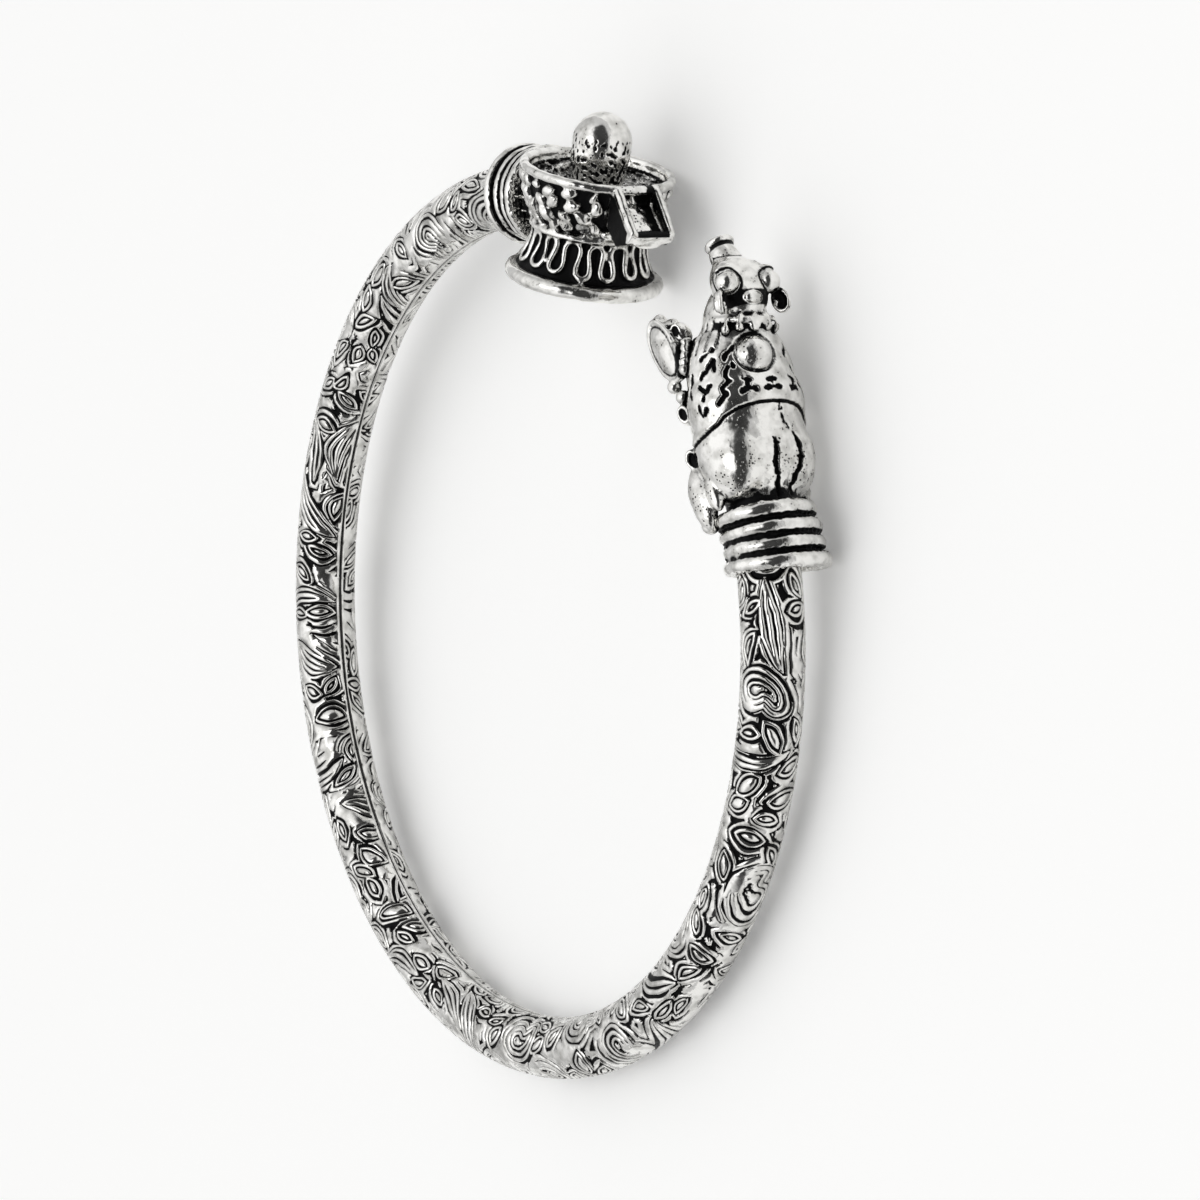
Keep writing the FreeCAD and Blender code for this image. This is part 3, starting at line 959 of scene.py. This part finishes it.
def makeLingam():
    g = lingam
    rng = random.Random(g["seed"])
    middle = g["floor"] + g["height"] - g["radius"]
    bulge = (g["radius"] - 0.1, g["floor"] + 1.7)
    side = arc(((g["foot"], g["floor"] - 0.6), bulge, (g["radius"], middle)), 12)
    dome = roundEdge(0, middle, g["radius"], 4, 89, 16)
    piece = addTurned([(0.0, side[0][1])] + side + dome + [(0.0, middle + g["radius"])], steps=72)
    piece = castTogether("lingam_stone", [piece])
    points = places(piece)
    low = np.clip((g["floor"] + 4.4 - points[:, 2]) / 3.0, 0, 1)
    pits = step(lumps(points, 0.4, rng, waves=24) + 0.45 * low, 0.62, 0.9) * low ** 0.5
    pushed(piece, 0.02 * lumps(points, 2.0, rng) - 0.02 - 0.12 * pits)
    foot = np.clip(0.5 - (points[:, 2] - g["floor"]), 0, 0.5)
    setAttribute(piece, "oxideAndShade", pits * 2.2 + foot)
    setAttribute(piece, "pitting", 0.15 + 0.9 * low)
    putOnBangle(piece, alongHoop(**seats["linga"]), "lingam")


makeLingam()


# Collars: rings side by side on the tube, their grooves left black

collars = {
    "bore": 2.61, "groove": 3.5, "gap": 0.14,
    "linga": {
        "name": "pedestal_collar", "node": "linga_collar",
        "end": hoopSize["start"], "centre": 35.0, "way": -1, "blackFrom": 0.07, "seed": 21,
        "ribs": ((1.0, 4.2, 0.0), (0.85, 3.95, 0.0), (0.85, 3.95, 0.0), (0.95, 4.1, 0.0)),
    },
    "nandi": {
        "name": "bull_collar", "node": "nandi_collar",
        "end": hoopSize["end"], "centre": 35.5, "way": 1, "blackFrom": 0.13, "seed": 22,
        "ribs": ((1.15, 4.35, -0.6), (1.12, 4.12, -0.45), (1.12, 4.1, -0.3), (1.15, 4.15, 0.0)),
    },
}


def makeCollar(which):
    c = collars
    w = c[which]
    rng = random.Random(w["seed"])
    ribs = np.array(w["ribs"])
    length = sum(rib[0] for rib in w["ribs"]) + c["gap"] * (len(w["ribs"]) - 1)
    parts, reached = [], -length
    inside = c["bore"] + 0.02
    core = [(inside, -length + 0.3), (c["groove"], -length + 0.3), (c["groove"], -0.02), (inside, -0.02)]
    parts.append(addTurned(core, steps=96, closed=True))
    for thick, radius, aside in w["ribs"]:
        edge = thick / 2 - 0.01
        hole = c["bore"] + abs(aside) + 0.06
        profile = [(hole, reached + 0.02)] + roundEdge(radius - edge, reached + thick / 2, edge, -90, 90, 12)
        rib = addTurned(profile + [(hole, reached + thick - 0.02)], steps=96, closed=True)
        rib.data.transform(Matrix.Translation((0, aside, 0)))
        parts.append(rib)
        reached += thick + c["gap"]
    piece = castTogether(w["name"], parts, smooth=3)
    points = places(piece)
    flat = np.stack([points[:, 2], points[:, 1], -points[:, 0]], axis=-1)
    # follow the tube's bend
    angle = math.radians(w["end"]) + w["way"] * flat[:, 0] / w["centre"]
    out = w["centre"] + flat[:, 2]
    bent = np.stack([out * np.cos(angle), out * np.sin(angle), w["way"] * flat[:, 1]], axis=-1)
    movedTo(piece, bent)
    editAll(piece)
    closeEdit()
    # black in the grooves, as far up the ribs as the wheel could not reach
    middles = np.cumsum(ribs[:, 0] + c["gap"]) - length - c["gap"] - ribs[:, 0] / 2
    crest, aside = np.interp(flat[:, 0], middles, ribs[:, 1]), np.interp(flat[:, 0], middles, ribs[:, 2])
    sunk = crest - np.hypot(flat[:, 1] - aside, flat[:, 2])
    low = step(sunk + 0.03 * lumps(bent, 0.5, rng), w["blackFrom"], w["blackFrom"] + 0.12)
    inner = (flat[:, 0] > middles[0]) & (flat[:, 0] < middles[-1])
    pushed(piece, -0.02 + 0.025 * lumps(bent, 1.4, rng) + low * 0.05 * lumps(bent, 0.35, rng))
    setAttribute(piece, "oxideAndShade", low * inner * 0.95 + shelter(piece, 0.5) * 0.6)
    setAttribute(piece, "pitting", np.full(len(points), 0.35))
    putOnBangle(piece, lying, w["node"])


makeCollar("linga")
makeCollar("nandi")


# Bull: masses blended to a smooth beast, then the cast details, then what the engraver cut.
# Places are (ahead, aside, up) from the middle of the collar's top; pitch lowers the front.

bull = {
    "body": (((4.9, 0, -0.1), (5.5, 4.85, 3.95), 0), ((8.3, 0, 0), (4.5, 4.75, 3.95), 0),
             ((10.6, 0, -0.1), (5.2, 4.3, 3.7), 0), ((14.2, 0, 0.5), (4.2, 2.75, 2.8), -12),
             ((7.8, 0, -1.9), (7.4, 3.9, 2.7), 0)),
    "cheek": ((3.9, 2.0, 0.3), (3.7, 2.75, 3.3), 0),
    "head": (((17.4, 0, 1.9), (3.1, 2.25, 2.0), 22), ((19.9, 0, 0.95), (2.4, 1.25, 1.25), 26)),
    "headPairs": (((18.3, 0.95, 2.35), (1.35, 1.35, 1.2), 18),),
    "hump": ((11.7, 0.5, 2.85), 1.62),
    "pairs": {  # each is also set on the other side
        "eye": ((17.5, 1.92, 3.3), (0.95, 0.95, 0.95), 0),
        "brow": ((18.5, 1.75, 3.05), (0.42, 1.0, 0.6), 20),
        "foreleg": ((13.9, 3.95, -3.4), (3.0, 0.9, 1.5), 28),
        "knee": ((16.5, 3.75, -4.2), (0.62, 0.6, 0.6), 0),
        "shin": ((15.9, 3.6, -3.1), (0.5, 0.55, 1.1), 0),
        "shoulder": ((14.9, 3.2, -2.2), (1.0, 0.75, 0.8), 20),
        "elbow": ((10.9, 4.2, -3.1), (0.62, 0.6, 0.6), 0),
        "fetlock": ((9.8, 4.2, -2.15), (0.6, 0.62, 0.6), 0),
        "forehoof": ((8.4, 4.0, -2.3), (0.85, 0.5, 0.8), 0),
        "hindleg": ((1.5, 4.15, -1.95), (2.7, 0.95, 1.25), 12),
        "thigh": ((1.7, 4.0, -0.35), (1.7, 0.7, 0.75), 8),
        "hock": ((-0.6, 3.9, -1.9), (0.75, 0.75, 0.8), 0),
        "hindhoof": ((4.6, 3.9, -2.3), (0.85, 0.5, 0.85), 0),
    },
    # hollows of the folded legs, and last the ear: place, half-axes, wire, the way it faces
    "rings": (
        ((4.7, 4.35, -2.0), (0.72, 0.5), 0.19, (-0.25, 0.8, 0.55)),
        ((8.4, 4.45, -2.1), (0.6, 0.42), 0.17, (-0.2, 0.85, 0.5)),
        ((15.15, 3.85, -2.05), (0.5, 0.36), 0.15, (-0.2, 0.8, 0.55)),
        ((15.95, 2.75, 3.3), (0.86, 0.62), 0.2, (-0.1, -0.72, 0.62)),
    ),
    "earBead": (15.85, 2.45, 3.05, 0.26),
    "poll": ((16.1, 0.2, 3.95), (0.5, 0.8, 0.4), 0),
    "beads": ((14.0, 3.85, -0.9), (11.8, 4.2, -1.2), 5, 0.33),
    "band": (15.05, 2.75, 0.32),  # necklace: place along the neck, radius, wire
    "bell": (0.34, 0.13), "bells": ((14.35, -20), (14.3, 4), (14.4, 28), (14.3, 52), (14.3, -46)),
    "bellLine": (2.75, 2.85, 0.75),  # half-width and half-height of the neck there, its middle
    "lip": ((21.4, 0, 0.3), 0.92, 0.33, 20),
    "stub": (2.9, 1.2),
    "voxel": 0.112,
    # the body's half-width and height along it
    "line": (0, 1, 3, 5, 8, 12, 14, 16),
    "half": (4.0, 4.2, 4.8, 5.0, 4.8, 4.3, 3.4, 2.6),
    "high": (2.6, 2.9, 3.4, 3.7, 4.0, 3.8, 3.6, 3.4),
    # the cloth's back edge, by degrees round the body from the spine
    "clothEdge": ((0, 20, 36, 54, 62, 80, 110, 180), (7.9, 7.8, 7.6, 7.1, 6.6, 6.1, 5.6, 5.4)),
    "clothThick": 0.2,
    "deep": {"cut": 0.3, "hem": 0.16, "tail": 0.34, "crease": 0.12, "fold": 0.1, "hatch": 0.09},
    "girth": 4.3,  # mm, mean radius of the body, which turns degrees to lengths
    # strokes cut in black: half-width, then (ahead, degrees) along each
    "cuts": (
        (0.17, (8.75, 17), (8.85, 25), (8.7, 31)), (0.11, (8.85, 25), (9.45, 24)),
        (0.13, (9.5, 21), (9.65, 29)),
        (0.17, (8.8, -9), (8.9, -2), (8.75, 6)), (0.12, (8.85, -2), (9.4, -2)), (0.16, (9.5, -5), (9.45, 1)),
        (0.16, (8.85, -37), (8.85, -26)), (0.1, (8.9, -31), (9.6, -33)), (0.13, (9.6, -36), (9.75, -30)),
        (0.15, (10.8, 42), (10.2, 47), (9.7, 43), (9.1, 51), (8.6, 47), (8.1, 56)),
        (0.14, (10.4, 77), (11.1, 67), (11.5, 57), (10.8, 58)), (0.14, (9.6, 78), (9.1, 70), (9.6, 64)),
        (0.13, (9.1, 71), (8.6, 73)), (0.1, (8.2, 81), (7.4, 78)), (0.1, (8.0, 70), (7.5, 75)),
        (0.13, (11.2, 38), (10.8, 37)), (0.14, (11.6, 46), (12.5, 33)), (0.12, (12.4, 60), (12.0, 74)),
        (0.13, (10.9, 92), (9.8, 98), (9.2, 92)), (0.13, (10.7, -42), (10.0, -49), (9.2, -45), (8.5, -56)),
        (0.14, (11.2, -56), (10.3, -68), (9.4, -62)), (0.13, (9.3, -76), (8.2, -72), (8.5, -84)),
        (0.13, (11.6, -34), (12.5, -44)), (0.12, (11.4, -80), (10.0, -92), (9.0, -90)),
    ),
    # the tail lies between two grooves, below the crease of the rump
    "tail": ((0.13, (4.7, 3), (3.9, 4), (3.0, 5), (2.2, 4), (1.4, 3), (0.5, 3)),
             (0.12, (4.9, -20), (4.1, -22), (3.2, -22), (2.3, -20), (1.4, -17), (0.5, -14))),
    "crease": (0.06, (7.7, -8), (7.1, -8), (6.4, -10), (5.8, -13), (5.3, -17), (4.9, -20)),
    "seed": 4,
}


def strokeGap(s, v, stroke):
    # how far each point lies outside a stroke; along in mm and round in degrees
    roundMm = bull["girth"] * math.pi / 180
    gap = np.full(len(s), farOff)
    for (s0, a0), (s1, a1) in zip(stroke[1:], stroke[2:]):
        run = np.array([s1 - s0, (a1 - a0) * roundMm])
        off = np.stack([s - s0, (v - a0) * roundMm])
        t = np.clip((off * run[:, None]).sum(0) / (run @ run), 0, 1)
        gap = np.minimum(gap, np.hypot(*(off - run[:, None] * t)))
    return gap - stroke[0]


def facing(place, way):
    # a frame at the place, its Z towards the way
    return Matrix.Translation(place) @ Vector(way).to_track_quat("Z", "X").to_matrix().to_4x4()


def mirrored(place, side):
    return (place[0], place[1] * side, place[2])


def bullParts(b):
    masses = [addBall(*mass) for mass in b["body"]]
    masses += [addBall(mirrored(b["cheek"][0], side), *b["cheek"][1:]) for side in (1, -1)]
    parts = [castTogether("body", masses, voxel=0.25, smooth=9)]
    masses = [addBall(*mass) for mass in b["head"]]
    for place, size, pitch in b["headPairs"]:
        masses += [addBall(mirrored(place, side), size, pitch) for side in (1, -1)]
    parts.append(castTogether("head", masses, voxel=0.2, smooth=4))
    parts += [addBall(b["hump"][0], (b["hump"][1],) * 3), addBall(*b["poll"])]
    for side in (1, -1):
        parts += [addBall(mirrored(place, side), size, pitch) for place, size, pitch in b["pairs"].values()]
        for place, (tall, wide), wire, way in b["rings"]:
            seat = facing(mirrored(place, side), mirrored(way, side))
            turns = np.linspace(0, math.tau, 32, endpoint=False)
            oval = [seat @ Vector((wide * math.cos(a), tall * math.sin(a), 0)) for a in turns]
            parts.append(addWire(oval, wire, closed=True))
            plate = addBall((0, 0, -0.36), (wide, tall, 0.28))
            plate.data.transform(seat)
            parts.append(plate)
        parts.append(addBall(mirrored(b["earBead"][:3], side), (b["earBead"][3],) * 3, detail=2))
        first, last, count, size = b["beads"]
        for k in range(count):
            place = Vector(first).lerp(Vector(last), k / (count - 1))
            parts.append(addBall(mirrored(place, side), (size, size, size), detail=2))
        # rim of the folded foreleg
        place, size, pitch = b["pairs"]["foreleg"]
        turn = Matrix.Translation(mirrored(place, side)) @ tilt(pitch)
        rim = [turn @ Vector((size[0] * 0.97 * math.cos(a), 0.42 * side, size[2] * 0.95 * math.sin(a)))
               for a in np.linspace(0, math.tau, 48, endpoint=False)]
        parts.append(addWire(rim, 0.2, closed=True))
    # necklace with its bells
    along, radius, wire = b["band"]
    band = addRing(radius, wire, tilt(90))
    band.data.transform(Matrix.Translation((along, 0, 1.1)) @ tilt(-14) @ Matrix.Diagonal((1, 0.86, 0.94, 1)))
    parts.append(band)
    halfWide, halfTall, middle = b["bellLine"]
    for at, degrees in b["bells"]:
        a = math.radians(degrees)
        bell = addRing(*b["bell"], Matrix.Identity(4))
        place = Matrix.Translation((at, halfWide * math.sin(a), middle + halfTall * math.cos(a)))
        bell.data.transform(place @ tilt(degrees, "X") @ tilt(-16) @ Matrix.Diagonal((1.5, 0.9, 1, 1)))
        parts.append(bell)
    # flared lip, closed by a disc
    place, radius, wire, pitch = b["lip"]
    for part in (addRing(radius, wire, tilt(90)), addDrum(radius + 0.05, 0.5, 0, 48)):
        part.data.transform(Matrix.Translation(place) @ tilt(pitch))
        parts.append(part)
    radius, depth = b["stub"]
    parts.append(addDrum(radius, depth, depth / 2, 64))
    return parts


def bullBlack(points, b, tail, degrees, skin, rng):
    # black sockets and hollows: round the eyes, behind the brow, under the bells, in the rings,
    # inside the foreleg's rim, beside the tail, round the beads, behind the lip, along the jaw
    s, y, h = points.T
    paired = np.stack([s, np.abs(y), h], axis=-1)
    offEye = np.linalg.norm(paired - np.array(b["pairs"]["eye"][0]), axis=1)
    offPoll = np.linalg.norm((points - np.array(b["poll"][0])) / np.array(b["poll"][1]), axis=1)
    face = step(np.abs(s - 16.15), 0.75, 0.5) * step(h, 2.3, 2.7) * (np.abs(y) < 2.0)
    face *= step(offPoll, 1.08, 1.2) * step(offEye, 0.98, 1.04)
    blacks = [face, step(offEye, 0.99, 1.04) * step(offEye, 1.3, 1.18)]
    halfWide, halfTall, middle = b["bellLine"]
    underBells = step(np.hypot(y / halfWide, (h - middle) / halfTall), 0.99, 0.955)
    blacks.append(underBells * (np.abs(degrees) < 66) * (s > 13.75) * (s < 14.95))
    offBead = np.linalg.norm(paired - np.array(b["earBead"][:3]), axis=1) - b["earBead"][3]
    for place, (tall, wide), wire, way in b["rings"]:
        local = seenFrom(facing(place, way), paired)
        oval = np.hypot(local[:, 0] / (wide - wire * 0.6), local[:, 1] / (tall - wire * 0.6))
        blacks.append(step(oval, 1.1, 0.92) * (np.abs(local[:, 2]) < 0.9) * step(offBead, 0.03, 0.1))
    place, size, pitch = b["pairs"]["foreleg"]
    local = seenFrom(Matrix.Translation(place) @ tilt(pitch), paired)
    rimLine = step(np.abs(np.hypot(local[:, 0] / size[0], local[:, 2] / size[2]) - 0.8), 0.07, 0.02)
    blacks.append(0.75 * (rimLine * ((local[:, 1] > 0.15) * (local[:, 1] < 1.2))))
    blacks.append(step(tail, 1.7, 0.0) * step(s, 3.4, 0.9) * step(lumps(points, 0.5, rng), -0.2, 0.5) * skin)
    first, last, count, size = b["beads"]
    shares = np.linspace(0, 1, count)[:, None]
    beads = np.array(first) * (1 - shares) + np.array(last) * shares
    offBeads = np.min([np.linalg.norm(paired - bead, axis=1) for bead in beads], axis=0) - size
    blacks.append(step(offBeads, 0.03, 0.08) * step(offBeads, 0.6, 0.4))
    place, radius, wire, pitch = b["lip"]
    local = seenFrom(Matrix.Translation(place) @ tilt(pitch), points)
    blacks.append(step(np.abs(local[:, 0] + 0.5), 0.3, 0.14) * (local[:, 2] > 0))
    around = np.degrees(np.arctan2(np.abs(y), h - 1.9 + 0.38 * (s - 17.4)))
    jaw = step(np.abs(around - 88) * 0.035, 0.16, 0.05)
    blacks.append(0.9 * (jaw * step(s, 16.1, 16.4) * step(s, 20.4, 20.1)))
    return np.max(blacks, axis=0)


def makeBull():
    b = bull
    rng = random.Random(b["seed"])
    piece = castTogether("nandi", bullParts(b), voxel=b["voxel"])
    points = places(piece)
    s, y, h = points.T
    half, high = np.interp(s, b["line"], b["half"]), np.interp(s, b["line"], b["high"])
    degrees = np.degrees(np.arctan2(y / half, h / high))
    share = np.hypot(y / half, h / high)
    offHump = np.linalg.norm(points - np.array(b["hump"][0]), axis=1) - b["hump"][1]
    skin = step(offHump, 0.05, 0.2) * step(share, 0.8, 0.86) * step(np.abs(degrees), 118, 108)
    skin *= step(s, 14.3, 14.0)
    # cloth over the shoulders, with its black cut-outs
    edge = np.interp(np.abs(degrees), *b["clothEdge"])
    cloth = step(s - edge, -0.07, 0.07) * skin
    cuts, tail = (np.min([strokeGap(s, degrees, stroke) for stroke in b[key]], axis=0)
                  for key in ("cuts", "tail"))
    cutDepth = step(cuts - 0.09 * lumps(points, 0.5, rng), 0.08, -0.05) * skin
    hem = step(np.abs(s - edge + 0.12), 0.13, 0.05) * skin
    tailDepth = step(tail - 0.1 * lumps(points, 0.4, rng), 0.09, -0.06) * skin
    creaseGap = strokeGap(s, degrees, b["crease"])
    crease = step(creaseGap - 0.12 * lumps(points, 0.3, rng), 0.1, -0.03) * skin
    foot = step(s - 0.25 * lumps(points, 0.7, rng), 1.05, 0.55) * step(np.abs(y), 4.2, 3.6)
    fold = step(np.abs(s - 19.95 - 0.1 * y * y), 0.12, 0.02) * (h > 0.9)
    # hatched neck
    neck = (s > 12.4) & (s < 15) & (np.abs(degrees) > 52) & (np.abs(degrees) < 112) & (share > 0.8)
    hatch = step(np.sin(degrees * 0.42 + s * 0.8), 0.35, 0.8) * neck
    amounts = b["clothThick"] * cloth
    for key, mask in (("cut", cutDepth), ("hem", hem), ("tail", tailDepth), ("crease", crease),
                      ("fold", fold), ("hatch", hatch)):
        amounts = amounts - b["deep"][key] * mask
    pushed(piece, amounts + 0.022 * lumps(points, 1.6, rng) - 0.01)
    dark = np.clip(shelter(piece, 1.0) * 2.7 - 0.1, 0, 1.2)
    socket = bullBlack(points, b, tail, degrees, skin, rng)
    oxideAndShade = dark + 0.8 * socket + 0.9 * cutDepth + 0.7 * hem + 0.8 * tailDepth + 0.5 * crease
    setAttribute(piece, "oxideAndShade", oxideAndShade + 0.75 * foot + 0.4 * fold + 0.35 * hatch - 0.05)
    setAttribute(piece, "pitting", 0.42 + 0.3 * step(s, 4.5, 1.0) - 0.2 * cloth * (s < 14))
    putOnBangle(piece, alongHoop(**seats["bull"]), "nandi_bull")


makeBull()


# Floor, light and camera

studio = {
    "floor": "#FBFBFA",
    "floorGlow": 0.18,  # a lit table, which keeps the shadows faint
    "skyTop": 1.12,
    "skyLow": 0.6,
    "skyRise": (0.25, 0.95),  # height, as the sine of the elevation
    "skyDark": 0.05,  # in the dark gap
    "gapSides": (0.2, 0.42),
    "gapFoot": (0.16, 0.24),
    "gapTop": (0.85, 0.79),
    "softbox": ((-0.14, -0.11, 0.75), 0.45, 0.5),  # place and side in metres, watts
    "camera": (-389.89, -307.98, 307.35),  # mm
    "bearing": -141.674,  # degrees, towards the camera, seen from the picture's middle
    "elevation": 31.757,
    "roll": -88.71,
    "lens": 213.52,  # mm on a picture this wide
    "picture": 36.0,
}
bearing, elevation = math.radians(studio["bearing"]), math.radians(studio["elevation"])

bpy.ops.mesh.primitive_plane_add(size=6.0, location=(0, 0, 0))
floor = bpy.context.object
floor.name = "floor"
floorMaterial, tree = newMaterial("matt_floor")  # white paper, dull, so that it mirrors nothing
shader = addNode(tree, "BsdfPrincipled",
                 {"Base Color": colour(studio["floor"]), "Roughness": 0.85,
                  "Emission Color": (1, 1, 1, 1), "Emission Strength": studio["floorGlow"]})
addNode(tree, "OutputMaterial", {"Surface": shader})
floor.data.materials.append(floorMaterial)

# A white tent, with a dark gap on the camera's side that the polished silver mirrors
world = bpy.data.worlds.new("tent")
bpy.context.scene.world = world
world.use_nodes = True
tree = world.node_tree
tree.nodes.clear()
direction = addNode(tree, "TexCoord").outputs["Generated"]
turn = addNode(tree, "Mapping", {"Vector": direction, "Rotation": (0, 0, -bearing)})
axes = addNode(tree, "SeparateXYZ", {0: turn}).outputs
gap = 1.0
for axis, ends in (("Z", "gapFoot"), ("Z", "gapTop"), ("X", "gapSides")):
    side = addNode(tree, "MapRange", {"Value": axes[axis], **between(studio[ends])}, **softEnds)
    gap = addNode(tree, "Math", {0: gap, 1: side}, operation="MULTIPLY")
height = addNode(tree, "MapRange", {"Value": axes["Z"], **between(studio["skyRise"]),
                                    "To Min": studio["skyLow"], "To Max": studio["skyTop"]}, **softEnds)
level = addNode(tree, "Mix", {0: gap, 2: height, 3: studio["skyDark"]})
sky = addNode(tree, "Background", {"Color": (1, 1, 1, 1), "Strength": level})
addNode(tree, "OutputWorld", {"Surface": sky})

place, side, watts = studio["softbox"]
lamp = bpy.data.lights.new("top_softbox", "AREA")
lamp.shape = "SQUARE"
lamp.size = side
lamp.energy = watts
box = bpy.data.objects.new("top_softbox", lamp)
bpy.context.collection.objects.link(box)
box.location = Vector(place)
box.rotation_euler = box.location.to_track_quat("Z", "Y").to_euler()

camera = bpy.data.objects.new("camera", bpy.data.cameras.new("camera"))
bpy.context.collection.objects.link(camera)
camera.data.lens = studio["lens"]
camera.data.sensor_width = studio["picture"]
flat = math.cos(elevation)
back = Vector((math.cos(bearing) * flat, math.sin(bearing) * flat, math.sin(elevation)))
turn = back.to_track_quat("Z", "Y").to_matrix().to_4x4() @ tilt(studio["roll"], "Z")
camera.matrix_world = Matrix.Translation(Vector(studio["camera"]) * mm) @ turn
bpy.context.scene.camera = camera
bpy.context.scene.view_settings.view_transform = "Standard"
print("studio set")
